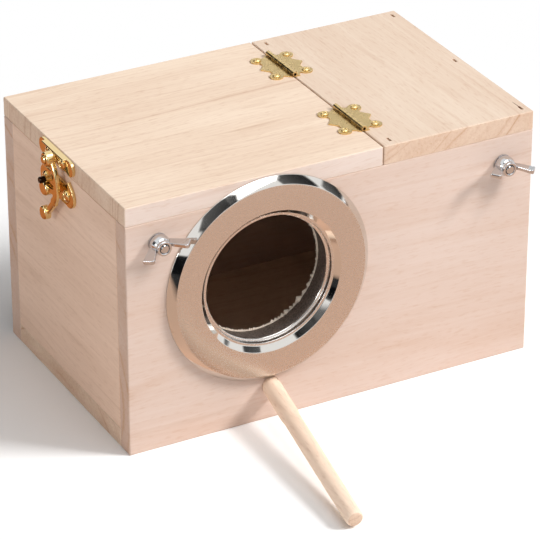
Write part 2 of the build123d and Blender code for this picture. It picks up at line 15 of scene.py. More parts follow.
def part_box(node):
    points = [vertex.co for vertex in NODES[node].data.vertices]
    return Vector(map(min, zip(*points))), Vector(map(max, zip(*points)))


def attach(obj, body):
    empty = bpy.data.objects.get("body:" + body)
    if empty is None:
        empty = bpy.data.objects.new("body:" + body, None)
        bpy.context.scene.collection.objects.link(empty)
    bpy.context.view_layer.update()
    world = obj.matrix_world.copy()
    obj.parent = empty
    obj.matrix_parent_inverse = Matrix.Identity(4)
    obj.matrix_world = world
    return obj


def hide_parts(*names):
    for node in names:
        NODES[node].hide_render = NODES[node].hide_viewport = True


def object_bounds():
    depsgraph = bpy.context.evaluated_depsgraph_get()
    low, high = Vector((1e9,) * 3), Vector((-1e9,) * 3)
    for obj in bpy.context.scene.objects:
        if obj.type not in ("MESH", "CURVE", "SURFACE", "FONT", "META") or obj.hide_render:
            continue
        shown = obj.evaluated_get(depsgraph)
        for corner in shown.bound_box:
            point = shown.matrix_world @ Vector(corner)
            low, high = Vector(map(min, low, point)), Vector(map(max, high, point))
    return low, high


bl_info = {
    "name": "Bird Nesting Box Finishes",
    "version": (1, 0, 0),
    "blender": (4, 5, 0),
    "location": "View3D > Sidebar > Nesting Box",
    "description": "Woods, platings and fine details for a packed bird nesting box",
    "category": "Object",
}

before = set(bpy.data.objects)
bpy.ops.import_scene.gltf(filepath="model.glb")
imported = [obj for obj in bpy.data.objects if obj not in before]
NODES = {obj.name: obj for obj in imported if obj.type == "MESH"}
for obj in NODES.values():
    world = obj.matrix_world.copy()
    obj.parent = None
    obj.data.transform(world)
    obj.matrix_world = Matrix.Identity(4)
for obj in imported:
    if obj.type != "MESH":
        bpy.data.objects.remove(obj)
CAD_LOW, CAD_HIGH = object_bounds()

MM = 0.001
FULL_TURN = 2 * math.pi
# Points of a mesh that lie nearer than this are one point
SAME_POINT = 0.001 * MM


def node_box(node):
    """Lowest and highest corner of a CAD node, in metres."""
    low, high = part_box(node)
    return Vector(low), Vector(high)


def middle(node):
    """Middle of a CAD node's box, in metres."""
    low, high = node_box(node)
    return (low + high) / 2


# The entrance's middle on the front face, which the ring, the sleeve and the splinters share
PANEL_LOW, PANEL_HIGH = node_box("front_panel")
ENTRANCE = middle("entrance_ring")
ENTRANCE.y = PANEL_LOW.y
PANEL_THICKNESS = (PANEL_HIGH.y - PANEL_LOW.y) / MM
# The galvanised tube ends among the torn fibres that stand out of the panel's inner face
TUBE_DEPTH = 11.4

# Features of paulownia's grain in millimetres, as length along the board and width across it
WANDER_SIZE = (130.0, 45.0)
FADING_SIZE = (55.0, 16.0)
STAIN_SIZE = (60.0, 6.0)
CLOUD_SIZE = (110.0, 20.0)
FIBRE_LENGTH = 85.0
PORE_LENGTH = 5.0
# How far the grain wanders in millimetres, and how little the rings change along a board
WANDER_REACH = 11.0
RING_TAPER = 0.02
# How far each feature takes the wood towards its streak colour, and the average to take off again
RING_SHARE = 0.42
FIBRE_SHARE = 0.42
PORE_SHARE = 0.22
CLOUD_SHARE = 0.5
END_GRAIN_SHARE = 0.38
STAIN_SHARE = 0.4
AVERAGE_SHARE = 0.35

# Size of the voxels that a casting's skin is made from, and radius of every screw's shank, in mm
CAST_VOXEL = 0.14
SHANK_RADIUS = 0.75


def linear(hex_colour):
    """Linear RGBA of an sRGB hex colour such as '#f2dcc8'."""
    channels = [int(hex_colour[i : i + 2], 16) / 255 for i in (1, 3, 5)]
    curved = [c / 12.92 if c <= 0.04045 else ((c + 0.055) / 1.055) ** 2.4 for c in channels]
    return (*curved, 1.0)


def grey(level):
    """A linear grey."""
    return (level, level, level, 1.0)


def colour_setting(name, description, hex_colour):
    """A colour that the user can change, with its default as an sRGB hex value."""
    return bpy.props.FloatVectorProperty(
        name=name, description=description, default=linear(hex_colour), size=4, subtype="COLOR",
        min=0.0, max=1.0,
    )


def size_setting(name, description, default, least):
    """A size in millimetres that the user can change."""
    return bpy.props.FloatProperty(
        name=f"{name} (mm)", description=description, default=default, min=least
    )


def place_setting(name, description, default):
    """A place in metres that the user can change."""
    return bpy.props.FloatVectorProperty(
        name=name, description=description, default=default, subtype="TRANSLATION", unit="LENGTH"
    )


def strength_setting(name, description, default):
    """A strength without a unit that the user can change."""
    return bpy.props.FloatProperty(name=name, description=description, default=default, min=0.0)


class NestBoxWood(bpy.types.PropertyGroup):
    """Colours and grain of the planed boards and the dowel."""

    cream: colour_setting("Cream", "Sapwood of the lid and the floor", "#f6e0ca")
    # Painted light: rosier and paler than the cream, for the cooler light that falls on the lid's front
    # edge
    front_light_rose: colour_setting("Rose", "The lid's front edge", "#e6d3c8")
    # Painted shade: a little darker than the lid's cream, to offset the right lamp's extra light on the
    # fixed top
    oat_with_painted_shade: colour_setting("Oat", "Wood of the fixed top", "#edd8c4")
    # Painted shade: this pinker wood is darker than the lid's cream, so the front, back and right end
    # render darker than the top
    blush_with_painted_shade: colour_setting("Blush", "Wood of the front, the back and the right end", "#dec7ba")
    # Painted light: warmer than the other boards, for the warm light that bounces off the floor onto the
    # left end
    tan: colour_setting("Tan", "Wood of the left end", "#f0cfb8")
    dowel: colour_setting("Dowel", "Wood of the perch", "#ffe6cf")
    streak: colour_setting("Streak", "Darker late wood and fibre streaks", "#c99f82")
    stain: colour_setting("Stain", "Brown mineral streaks", "#b98a66")
    # Painted light: brightened to near white, so that the splinters in the entrance's shade look as bright
    # as lit fibres
    torn: colour_setting("Torn fibre", "Fresh splinters at the back of the entrance", "#fff4e4")
    shaded: colour_setting("Shaded wood", "Wood inside the split behind a brad", "#6b4a38")
    fibre_width: size_setting("Fibre width", "Width of a fibre streak", 0.7, 0.1)
    pore_width: size_setting("Pore width", "Width of a pore, drawn coarser than it is", 0.42, 0.1)


class NestBoxMetal(bpy.types.PropertyGroup):
    """Colours of the hardware, and the bolts' thread."""

    steel: colour_setting("Polished steel", "The entrance ring's bright cuts", "#dedbd6")
    face: colour_setting("Satin face", "The entrance ring's flat faces", "#dfdcd9")
    sleeve: colour_setting("Sleeve", "Dull oxidised tube in the entrance", "#776b64")
    zinc: colour_setting("Zinc", "Wing nuts, washers and bolts", "#d3d5d8")
    brass: colour_setting("Brass plating", "Hinges and their screws", "#e0c48a")
    # Painted shade: dark for the gaps between the hinge knuckles and the barrels' open ends
    pin: colour_setting("Pin", "Hinge pins", "#41362c")
    gold: colour_setting("Gold plating", "The latch's castings", "#ecd198")
    bare: colour_setting("Bare metal", "The unplated end of the latch's peg", "#2b211c")
    iron: colour_setting("Dark iron", "Brads", "#8b7667")
    thread_pitch: size_setting("Thread pitch", "Pitch of the cage bolts", 0.7, 0.1)


class NestBoxStage(bpy.types.PropertyGroup):
    """The studio's camera, light and card colours."""

    lens: bpy.props.FloatProperty(
        name="Lens", description="Focal length in millimetres", default=221.98, min=1.0, unit="CAMERA"
    )
    camera: place_setting("Camera", "The camera's place", (-0.62442, -1.17216, 0.75524))
    target: place_setting("Target", "What the camera looks at", (-0.03146, -0.0615, 0.07388))
    ambient: strength_setting("Ambient", "Strength of the world", 0.14)
    light_scale: strength_setting("Lights", "Factor on every lamp", 1.0)
    floor: colour_setting("Floor", "Plain pale floor", "#ffffff")
    paper: colour_setting("Warm paper", "Paper in front that only the metal mirrors", "#d0ae98")
    card: colour_setting("Black card", "Cards that only the metal mirrors", "#0a0c10")
    cloth: colour_setting("Brown cloth", "Cloth on the left that only the metal mirrors", "#c07f54")


def add_node(tree, kind, inputs=None, **settings):
    """Add a node. Settings are its attributes. Inputs are values, sockets, or nodes whose first
    output in use is linked. Map Range takes a value, the range it comes from and the one it goes to."""
    node = tree.nodes.new(kind)
    for name, value in settings.items():
        setattr(node, name, value)
    for key, value in (inputs or {}).items():
        if isinstance(value, bpy.types.Node):
            value = next(socket for socket in value.outputs if socket.enabled)
        if isinstance(value, bpy.types.NodeSocket):
            tree.links.new(value, node.inputs[key])
        else:
            node.inputs[key].default_value = value
    return node


def set_ramp(node, stops):
    """Give a colour ramp its stops, as pairs of place and linear colour."""
    elements = node.color_ramp.elements
    elements[0].position, elements[0].color = stops[0]
    elements[1].position, elements[1].color = stops[-1]
    for place, colour in stops[1:-1]:
        elements.new(place).color = colour


def new_material(name, roughness, **sockets):
    """A node material with the shader's plain values set: (material, tree, shader)."""
    material = bpy.data.materials.new(name)
    material.use_nodes = True
    shader = material.node_tree.nodes["Principled BSDF"]
    shader.inputs["Roughness"].default_value = roughness
    for socket, value in sockets.items():
        shader.inputs[socket.replace("_", " ")].default_value = value
    return material, material.node_tree, shader


def object_millimetres(tree):
    """The surface's place in millimetres, which travels with a moving piece."""
    place = add_node(tree, "ShaderNodeTexCoord").outputs["Object"]
    return add_node(tree, "ShaderNodeVectorMath", {0: place, "Scale": 1 / MM}, operation="SCALE")


def stretched_noise(tree, vector, size, detail, output=0):
    """Noise whose grains have a length along a board's X and a width across it, in mm."""
    length, width = size
    scale = (1 / length, 1 / width, 1 / width)
    place = add_node(tree, "ShaderNodeVectorMath", {0: vector, 1: scale}, operation="MULTIPLY")
    noise = add_node(tree, "ShaderNodeTexNoise", {"Vector": place, "Scale": 1.0, "Detail": detail})
    return noise.outputs[output]


def planed_wood(name, base, along, pith, spacing, seed, figure=1.0, edge=None):
    """Bare planed paulownia. Its growth rings lie round a pith line beside the board, so the same
    grain crosses faces and ends. It reads as pale wood with fine lines, short pores and few bands."""
    wood = bpy.context.scene.nestbox_wood
    material, tree, shader = new_material(name, roughness=0.62, IOR=1.5, Specular_IOR_Level=0.2)
    place = add_node(tree, "ShaderNodeSeparateXYZ", {0: object_millimetres(tree)})
    order = ("X", "Y", "Z") if along == "X" else ("Y", "X", "Z")
    axes = {number: place.outputs[axis] for number, axis in enumerate(order)}
    board = add_node(tree, "ShaderNodeCombineXYZ", axes)
    # Each board is cut from another stretch of the same noise
    offset = Vector((211.0, 13.0, 0.0)) * seed
    board = add_node(tree, "ShaderNodeVectorMath", {0: board, 1: offset}, operation="ADD")
    # The grain wanders by a few millimetres over a hand's width
    wander = stretched_noise(tree, board, WANDER_SIZE, 2.0, "Color")
    wander = add_node(tree, "ShaderNodeVectorMath", {0: wander, 1: (-0.5, -0.5, -0.5)}, operation="ADD")
    wander = add_node(tree, "ShaderNodeVectorMath", {0: wander, "Scale": WANDER_REACH}, operation="SCALE")
    grain = add_node(tree, "ShaderNodeVectorMath", {0: board, 1: wander}, operation="ADD")
    # Years are counted outwards from the pith, and they aren't equally wide
    pith = offset + Vector((0.0, *pith))
    radius = add_node(tree, "ShaderNodeVectorMath", {0: grain, 1: pith}, operation="SUBTRACT")
    taper = (RING_TAPER, 1, 1)
    radius = add_node(tree, "ShaderNodeVectorMath", {0: radius, 1: taper}, operation="MULTIPLY")
    radius = add_node(tree, "ShaderNodeVectorMath", {0: radius}, operation="LENGTH")
    years = add_node(tree, "ShaderNodeMath", {0: radius, 1: spacing}, operation="DIVIDE")
    uneven = {"W": years, "Scale": 0.45, "Detail": 1.0}
    uneven = add_node(tree, "ShaderNodeTexNoise", uneven, noise_dimensions="1D")
    years = add_node(tree, "ShaderNodeMath", {0: uneven, 1: 2.2, 2: years}, operation="MULTIPLY_ADD")
    season = add_node(tree, "ShaderNodeMath", {0: years}, operation="FRACT")
    ring = add_node(tree, "ShaderNodeValToRGB", {0: season})
    late, early = grey(0.9), grey(0.0)
    set_ramp(ring, [(0.0, late), (0.1, grey(0.3)), (0.35, early), (0.8, grey(0.1)), (1.0, late)])
    # Some years stand out, and a line fades and returns along the board
    vigour = {"W": years, "Scale": 0.55, "Detail": 2.0}
    vigour = add_node(tree, "ShaderNodeTexNoise", vigour, noise_dimensions="1D")
    vigour = add_node(tree, "ShaderNodeMapRange", {0: vigour, 1: 0.4, 2: 0.68, 3: 0.06, 4: 1.0})
    fading = stretched_noise(tree, grain, FADING_SIZE, 2.0)
    fading = add_node(tree, "ShaderNodeMapRange", {0: fading, 1: 0.38, 2: 0.62, 3: 0.25, 4: 1.0})
    for change in (vigour, fading):
        ring = add_node(tree, "ShaderNodeMath", {0: ring, 1: change}, operation="MULTIPLY")
    # Bundles of fibre, and short pores between them. A noise's grain spans a dark and a pale one
    fibre = stretched_noise(tree, grain, (FIBRE_LENGTH, 2 * wood.fibre_width), 2.0)
    pore = stretched_noise(tree, grain, (PORE_LENGTH, 2 * wood.pore_width), 1.0)
    pore = add_node(tree, "ShaderNodeMapRange", {0: pore, 1: 0.56, 2: 0.74})
    # A few brown mineral streaks in a board, and soft changes of tone
    patch = stretched_noise(tree, grain, STAIN_SIZE, 2.0)
    patch = add_node(tree, "ShaderNodeMapRange", {0: patch, 1: 0.62, 2: 0.85, 4: STAIN_SHARE * figure})
    cloud = stretched_noise(tree, grain, CLOUD_SIZE, 1.0)
    amount = {0: ring, 1: RING_SHARE * figure, 2: -AVERAGE_SHARE}
    amount = add_node(tree, "ShaderNodeMath", amount, operation="MULTIPLY_ADD")
    for feature, share in ((fibre, FIBRE_SHARE), (pore, PORE_SHARE), (cloud, CLOUD_SHARE)):
        amount = {0: feature, 1: share, 2: amount}
        amount = add_node(tree, "ShaderNodeMath", amount, operation="MULTIPLY_ADD")
    # Sawn ends drink in the light, so they are darker, with stronger rings
    facing = add_node(tree, "ShaderNodeTexCoord").outputs["Normal"]
    facing = add_node(tree, "ShaderNodeSeparateXYZ", {0: facing})
    ends = add_node(tree, "ShaderNodeMath", {0: facing.outputs[along]}, operation="ABSOLUTE")
    ends = add_node(tree, "ShaderNodeMapRange", {0: ends, 1: 0.6, 2: 0.9, 4: END_GRAIN_SHARE})
    darker = add_node(tree, "ShaderNodeMath", {0: ring, 1: 1.4, 2: 1.0}, operation="MULTIPLY_ADD")
    amount = {0: ends, 1: darker, 2: amount}
    amount = add_node(tree, "ShaderNodeMath", amount, operation="MULTIPLY_ADD", use_clamp=True)
    if edge is not None:
        # Painted light: faces towards the front or the back take the edge colour, which stands in for the
        # cooler light on the lid's front edge
        side = add_node(tree, "ShaderNodeMath", {0: facing.outputs["Y"]}, operation="ABSOLUTE")
        side = add_node(tree, "ShaderNodeMapRange", {0: side, 1: 0.6, 2: 0.9})
        base = add_node(tree, "ShaderNodeMix", {0: side, "A": base, "B": edge}, data_type="RGBA")
    streaked = {0: amount, "A": base, "B": wood.streak}
    streaked = add_node(tree, "ShaderNodeMix", streaked, data_type="RGBA")
    colour = add_node(tree, "ShaderNodeMix", {0: patch, "A": streaked, "B": wood.stain}, data_type="RGBA")
    tree.links.new(colour.outputs["Result"], shader.inputs["Base Color"])
    # Fibres stand up a little and pores sink
    relief = add_node(tree, "ShaderNodeMath", {0: pore, 1: -0.6, 2: fibre}, operation="MULTIPLY_ADD")
    bump = add_node(tree, "ShaderNodeBump", {"Height": relief, "Strength": 0.3, "Distance": 0.1 * MM})
    tree.links.new(bump.outputs[0], shader.inputs["Normal"])
    return material


def plated_metal(name, colour, roughness, mottle, scale_mm):
    """Plated metal with the faint uneven polish that plating has, so highlights aren't perfect."""
    material, tree, shader = new_material(name, roughness, Metallic=1.0, Base_Color=colour)
    cloud = {"Vector": object_millimetres(tree), "Scale": 1 / scale_mm, "Detail": 3.0}
    cloud = add_node(tree, "ShaderNodeTexNoise", cloud)
    least, most = roughness * (1 - mottle), roughness * (1 + mottle)
    rough = add_node(tree, "ShaderNodeMapRange", {0: cloud, 1: 0.3, 2: 0.7, 3: least, 4: most})
    tree.links.new(rough.outputs[0], shader.inputs["Roughness"])
    bump = add_node(tree, "ShaderNodeBump", {"Height": cloud, "Strength": 0.15, "Distance": 0.03 * MM})
    tree.links.new(bump.outputs[0], shader.inputs["Normal"])
    return material


def galvanised_tube():
    """Oxidised galvanised tube: dark, dull and speckled by its zinc crystals."""
    sleeve = bpy.context.scene.nestbox_metal.sleeve
    crystal_mm = 0.8
    material, tree, shader = new_material("oxidised_galvanised_tube", roughness=0.5, Metallic=0.6)
    grain = {"Vector": object_millimetres(tree), "Scale": 1 / crystal_mm, "Detail": 4.0}
    grain = add_node(tree, "ShaderNodeTexNoise", grain)
    ramp = add_node(tree, "ShaderNodeValToRGB", {0: grain})
    dark, light = ((*(factor * c for c in sleeve[:3]), 1.0) for factor in (0.45, 1.5))
    set_ramp(ramp, [(0.3, dark), (0.5, tuple(sleeve)), (0.72, light)])
    tree.links.new(ramp.outputs[0], shader.inputs["Base Color"])
    bump = add_node(tree, "ShaderNodeBump", {"Height": grain, "Strength": 0.3, "Distance": 0.05 * MM})
    tree.links.new(bump.outputs[0], shader.inputs["Normal"])
    return material


def torn_fibre():
    """Torn end fibre: paler than the planed face, and brightened further as painted light for the lamp
    light that falls into the entrance.
    """
    wood = bpy.context.scene.nestbox_wood
    fibre_mm = 0.5
    material, tree, shader = new_material("torn_fibre_painted_light", roughness=0.85)
    fibre = {"Vector": object_millimetres(tree), "Scale": 1 / fibre_mm, "Detail": 2.0}
    fibre = add_node(tree, "ShaderNodeTexNoise", fibre)
    colour = add_node(tree, "ShaderNodeMix", {0: fibre, "A": wood.torn, "B": wood.cream}, data_type="RGBA")
    tree.links.new(colour.outputs["Result"], shader.inputs["Base Color"])
    return material


def part_plated_peg():
    """The latch's peg: gold-plated, with a bare dark end where the plating didn't take."""
    metal = bpy.context.scene.nestbox_metal
    material, tree, shader = new_material("part_plated_peg", roughness=0.2, Metallic=1.0)
    place = add_node(tree, "ShaderNodeSeparateXYZ", {0: object_millimetres(tree)})
    # The peg's tip is the box's leftmost point, and its bare end is about 3 mm long
    tip = CAD_LOW.x / MM
    bare = {0: place.outputs["X"], 1: tip + 2.6, 2: tip + 3.2, 3: 1.0, 4: 0.0}
    bare = add_node(tree, "ShaderNodeMapRange", bare)
    colour = add_node(tree, "ShaderNodeMix", {0: bare, "A": metal.gold, "B": metal.bare}, data_type="RGBA")
    tree.links.new(colour.outputs["Result"], shader.inputs["Base Color"])
    return material


def dress(node, material):
    """Give a CAD node one material."""
    slots = NODES[node].data.materials
    slots.clear()
    slots.append(material)


def cast_round(node, passes):
    """Round a CAD node's edges as in a casting, with modifiers that leave its mesh alone."""
    piece = NODES[node]
    remesh = piece.modifiers.new("cast_skin", "REMESH")
    remesh.mode = "VOXEL"
    remesh.voxel_size = CAST_VOXEL * MM
    remesh.use_smooth_shade = True
    smooth = piece.modifiers.new("cast_round", "SMOOTH")
    smooth.factor = 0.5
    smooth.iterations = passes


def place_frame(origin, out, side):
    """Millimetre frame at a point in metres, with Z along out and X along side."""
    out = Vector(out).normalized()
    side = (Vector(side) - out * out.dot(Vector(side))).normalized()
    turn = Matrix((side, out.cross(side), out)).transposed().to_4x4()
    return Matrix.Translation(origin) @ turn @ Matrix.Scale(MM, 4)


def heading(azimuth, elevation):
    """Unit vector for an azimuth, from the front to the right, and an elevation, in degrees."""
    turn, rise = math.radians(azimuth), math.radians(elevation)
    return Vector((math.sin(turn) * math.cos(rise), -math.cos(turn) * math.cos(rise), math.sin(rise)))


def round_point(radius, turn, height):
    """A frame's point at a radius and a turn in radians about its Z axis, and at a height."""
    return Vector((radius * math.cos(turn), radius * math.sin(turn), height))


def eased(outline, radius, steps=4):
    """An outline with its inner corners rounded by a radius."""
    points = [Vector(outline[0])]
    # A corner takes less than half of each side, so that two corners never meet
    parts = 2.2
    for before, corner, after in zip(outline, outline[1:], outline[2:]):
        corner = Vector(corner)
        back, ahead = Vector(before) - corner, Vector(after) - corner
        start = corner + back.normalized() * min(radius, back.length / parts)
        end = corner + ahead.normalized() * min(radius, ahead.length / parts)
        for step in range(steps + 1):
            t = step / steps
            points.append(start * (1 - t) ** 2 + corner * 2 * t * (1 - t) + end * t**2)
    points.append(Vector(outline[-1]))
    return points


def spin(bm, matrix, outline, segments, closed=False, finish=None):
    """Turn an outline of (radius, height) points about a frame's Z axis. Finish gives the material
    number of the stretch between two points."""
    on_axis = 1e-6
    rings = []
    for radius, height in outline:
        count = segments if radius > on_axis else 1
        points = [round_point(radius, FULL_TURN * k / segments, height) for k in range(count)]
        rings.append([bm.verts.new(matrix @ point) for point in points])
    stretches = list(zip(range(len(rings)), rings, rings[1:] + rings[:1]))
    for number, lower, upper in stretches if closed else stretches[:-1]:
        for k in range(segments):
            loop = [lower[k % len(lower)], lower[(k + 1) % len(lower)]]
            loop += [upper[(k + 1) % len(upper)], upper[k % len(upper)]]
            face = bm.faces.new(list(dict.fromkeys(loop)))
            face.smooth = True
            if finish:
                face.material_index = finish(outline[number], outline[(number + 1) % len(outline)])


def make_piece(name, bm, materials, body, replaces=()):
    """Turn a bmesh into a piece that rides on a body."""
    bmesh.ops.recalc_face_normals(bm, faces=bm.faces)
    mesh = bpy.data.meshes.new(name)
    bm.to_mesh(mesh)
    bm.free()
    for material in materials:
        mesh.materials.append(material)
    piece = bpy.data.objects.new(name, mesh)
    bpy.context.scene.collection.objects.link(piece)
    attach(piece, body)
    if replaces:
        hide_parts(*replaces)


def screw(bm, matrix, head_radius, head_height, length):
    """A domed cross-recess screw that stands on a frame's plane."""
    rings, segments = 14, 48
    # The rim is a quarter as high as the middle, and the cross recess has arms of these sizes
    rim = 0.25
    recess_half = 0.13 * head_radius + 0.08
    recess_reach = 0.62 * head_radius
    recess_depth = 0.55 * head_height

    def height(x, y):
        away = math.hypot(x, y) / head_radius
        dome = head_height * (1 - away**2.4 * (1 - rim))
        arm = min(max(abs(x), abs(y)) / recess_reach, 1.0)
        side = min(abs(x), abs(y)) / recess_half
        return dome - recess_depth * (1 - arm**3) * max(0.0, 1 - side**3)

    crown = bm.verts.new(matrix @ Vector((0, 0, height(0, 0))))
    circles = []
    for ring in range(1, rings + 1):
        circle = []
        for k in range(segments):
            point = round_point(head_radius * ring / rings, FULL_TURN * k / segments, 0.0)
            point.z = height(point.x, point.y)
            circle.append(bm.verts.new(matrix @ point))
        circles.append(circle)
    for k in range(segments):
        j = (k + 1) % segments
        bm.faces.new((crown, circles[0][k], circles[0][j])).smooth = True
        for inner, outer in zip(circles, circles[1:]):
            bm.faces.new((inner[k], outer[k], outer[j], inner[j])).smooth = True
    point_length = 2 * SHANK_RADIUS
    outline = [
        (head_radius, rim * head_height), (head_radius, 0.0), (SHANK_RADIUS, 0.0),
        (SHANK_RADIUS, point_length - length), (0.0, -length),
    ]
    spin(bm, matrix, outline, segments)
    bmesh.ops.remove_doubles(bm, verts=bm.verts, dist=SAME_POINT)


def islands(node):
    """Boxes of a CAD node's separate solids, each as (low, high) in metres."""
    bm = bmesh.new()
    bm.from_mesh(NODES[node].data)
    bmesh.ops.remove_doubles(bm, verts=bm.verts, dist=2 * SAME_POINT)
    boxes, seen = [], set()
    for start in bm.verts:
        if start in seen:
            continue
        group, open_verts = [], [start]
        seen.add(start)
        while open_verts:
            vert = open_verts.pop()
            group.append(vert.co.copy())
            for edge in vert.link_edges:
                other = edge.other_vert(vert)
                if other not in seen:
                    seen.add(other)
                    open_verts.append(other)
        low = Vector(map(min, zip(*group)))
        high = Vector(map(max, zip(*group)))
        boxes.append((low, high))
    bm.free()
    return boxes


class NESTBOX_OT_boards(bpy.types.Operator):
    """Give each board its own wood, with painted light and shade in some boards' colours"""

    bl_idname = "nestbox.boards"
    bl_label = "Boards"

    def execute(self, context):
        wood = context.scene.nestbox_wood
        # Colour, grain axis, pith in mm (across, up), ring spacing in mm, seed, figure and edge colour
        plan = {
            # The fixed top, the upright boards, the left end and the lid's edge carry painted light and
            # shade in their colours
            "lid": (wood.cream, "X", (-190.0, 96.0), 4.2, 1, 1.0, wood.front_light_rose),
            "fixed_top": (wood.oat_with_painted_shade, "Y", (-5.0, 190.0), 5.0, 2, 0.9),
            "front_panel": (wood.blush_with_painted_shade, "X", (-15.0, 20.0), 7.0, 3, 0.85),
            "back_panel": (wood.blush_with_painted_shade, "X", (90.0, 20.0), 7.0, 4, 0.7),
            "floor_board": (wood.cream, "X", (10.0, -60.0), 6.0, 5, 0.7),
            "left_end_panel": (wood.tan, "Y", (-70.0, 160.0), 6.0, 6, 0.8),
            "right_end_panel": (wood.blush_with_painted_shade, "Y", (150.0, 40.0), 6.0, 7, 0.7),
        }
        for node, look in plan.items():
            dress(node, planed_wood(f"planed_paulownia_{node}", *look))
        return {"FINISHED"}


class NESTBOX_OT_perch(bpy.types.Operator):
    """Turn the dowel perch, a little thicker near its seat"""

    bl_idname = "nestbox.perch"
    bl_label = "Perch"

    def execute(self, context):
        wood = context.scene.nestbox_wood
        low, high = node_box("perch")
        # The perch leans left and down, so its box is longer than its axis by the tilted ends
        dowel_radius = 4.0
        lean = heading(-6.7, -7.2)
        ends = 2 * dowel_radius * math.sqrt(1 - lean.y**2)
        length = ((high.y - low.y) / MM - ends) / -lean.y
        start = middle("perch") - lean * length / 2 * MM
        seat = (start.y - PANEL_LOW.y) / -lean.y / MM + 1.0
        # Radius and height: the part in the panel, the thicker 23 mm in front of it and the worn end
        outline = [
            (0.0, 0.0), (3.85, 0.0), (3.85, seat + 0.05), (4.15, seat + 0.3), (4.3, seat + 1.5),
            (4.3, seat + 23.0), (4.0, seat + 25.0), (3.95, length - 1.7), (3.6, length - 0.6),
            (3.0, length - 0.05), (0.0, length),
        ]
        bm = bmesh.new()
        rounded = eased(outline, radius=0.5, steps=3)
        spin(bm, place_frame(start, lean, (1, 0, 0)), rounded, segments=64)
        bmesh.ops.remove_doubles(bm, verts=bm.verts, dist=SAME_POINT)
        # Birch dowel, with its grain along the axis
        look = {"along": "Y", "pith": (-60.0, 60.0), "spacing": 3.0, "seed": 8, "figure": 0.7}
        birch = planed_wood("turned_dowel", wood.dowel, **look)
        make_piece("turned_perch", bm, [birch], "box", ["perch"])
        return {"FINISHED"}


class NESTBOX_OT_ring(bpy.types.Operator):
    """Press and polish the entrance ring, and dull its sleeve"""

    bl_idname = "nestbox.ring"
    bl_label = "Entrance ring"

    def execute(self, context):
        metal = context.scene.nestbox_metal
        # Radius and height over the front: bevel, flat face, polished cone, ledge, wall and inner lip
        outline = [
            (48.2, 0.05), (49.2, 0.05), (49.2, 0.5), (45.9, 3.8), (34.0, 3.8), (31.7, 1.5), (30.55, 1.35),
            (30.45, -0.75), (29.8, -0.9), (29.4, -1.2), (29.3, -1.7), (29.6, -2.1), (30.2, -2.2),
            (30.75, -1.9), (30.75, 0.4), (32.1, 0.9), (34.3, 3.0), (45.6, 3.0), (48.2, 0.05),
        ]
        bright_number, satin_number = 0, 1

        def finish(start, end):
            low, high = sorted((start[1], end[1]))
            # The flat face is satin, and so is the ledge with the throat behind it
            face = low > 3.7
            ledge = max(start[0], end[0]) < 31.75 and low > -1.0 and high < 1.52
            return satin_number if face or ledge else bright_number

        bm = bmesh.new()
        matrix = place_frame(ENTRANCE, (0, -1, 0), (1, 0, 0))
        rounded = eased(outline, radius=0.28)[:-1]
        spin(bm, matrix, rounded, segments=192, closed=True, finish=finish)
        # Stainless steel with cuts polished to a mirror, which show the studio in hard-edged bands
        bright = plated_metal("mirror_cut_steel", metal.steel, roughness=0.06, mottle=0.3, scale_mm=3.0)
        # The same steel, fine-ground and lacquered: an even, slightly warm face without bands
        look = {"roughness": 0.24, "mottle": 0.3, "scale_mm": 0.45}
        satin = plated_metal("satin_lacquered_steel", metal.face, **look)
        make_piece("pressed_entrance_ring", bm, [bright, satin], "box", ["entrance_ring"])
        bm = bmesh.new()
        matrix = place_frame(ENTRANCE, (0, 1, 0), (1, 0, 0))
        tube = [(30.85, 0.3), (31.55, 0.3), (31.55, TUBE_DEPTH), (30.85, TUBE_DEPTH)]
        spin(bm, matrix, tube, segments=128, closed=True)
        make_piece("galvanised_sleeve", bm, [galvanised_tube()], "box", ["entrance_sleeve"])
        return {"FINISHED"}


class NESTBOX_OT_splinters(bpy.types.Operator):
    """Fray the back edge of the sawn entrance"""

    bl_idname = "nestbox.splinters"
    bl_label = "Splinters"

    def execute(self, context):
        chance = random.Random(7)
        hole_radius = 30.0
        # The saw tore the fibres most at the lower right, here as a turn and a spread in radians
        worst_turn, worst_spread = 0.8, 0.32
        # Each tooth is a valley and a tip, as a turn, a radius and a depth behind the front face
        rows = []
        turn = 0.0
        while turn < FULL_TURN - 0.01:
            coarse = 1.0 + 1.9 * math.exp(-(((turn - worst_turn) / worst_spread) ** 2))
            tooth = chance.uniform(0.5, 2.2) * coarse / hole_radius
            valley = chance.uniform(30.25, 30.5)
            tip = valley - chance.uniform(0.2, 0.85) * coarse
            lean = chance.uniform(0.25, 0.75)
            rows.append((turn, valley, TUBE_DEPTH + chance.uniform(0.1, 0.3)))
            rows.append((turn + tooth * lean, tip, TUBE_DEPTH + chance.uniform(0.2, 0.7)))
            turn += tooth
        bm = bmesh.new()
        matrix = place_frame(ENTRANCE, (0, 1, 0), (1, 0, 0))
        # The fibres are rooted a little inside the panel's inner face and lean over the tube's end
        root = PANEL_THICKNESS - 0.1
        tube_radius, tip_width, root_width = 31.6, 0.8, 1.8
        strips = []
        for turn, reach, depth in rows:
            profile = [(tube_radius + 0.05, root), (tube_radius, TUBE_DEPTH + 0.05), (reach, depth)]
            profile += [(reach + tip_width, depth + 0.25), (tube_radius + root_width, root)]
            points = [round_point(radius, turn, rise) for radius, rise in profile]
            strips.append([bm.verts.new(matrix @ point) for point in points])
        sides = len(strips[0])
        for strip, following in zip(strips, strips[1:] + strips[:1]):
            for k in range(sides):
                j = (k + 1) % sides
                bm.faces.new((strip[k], strip[j], following[j], following[k]))
        make_piece("entrance_splinters", bm, [torn_fibre()], "box")
        return {"FINISHED"}


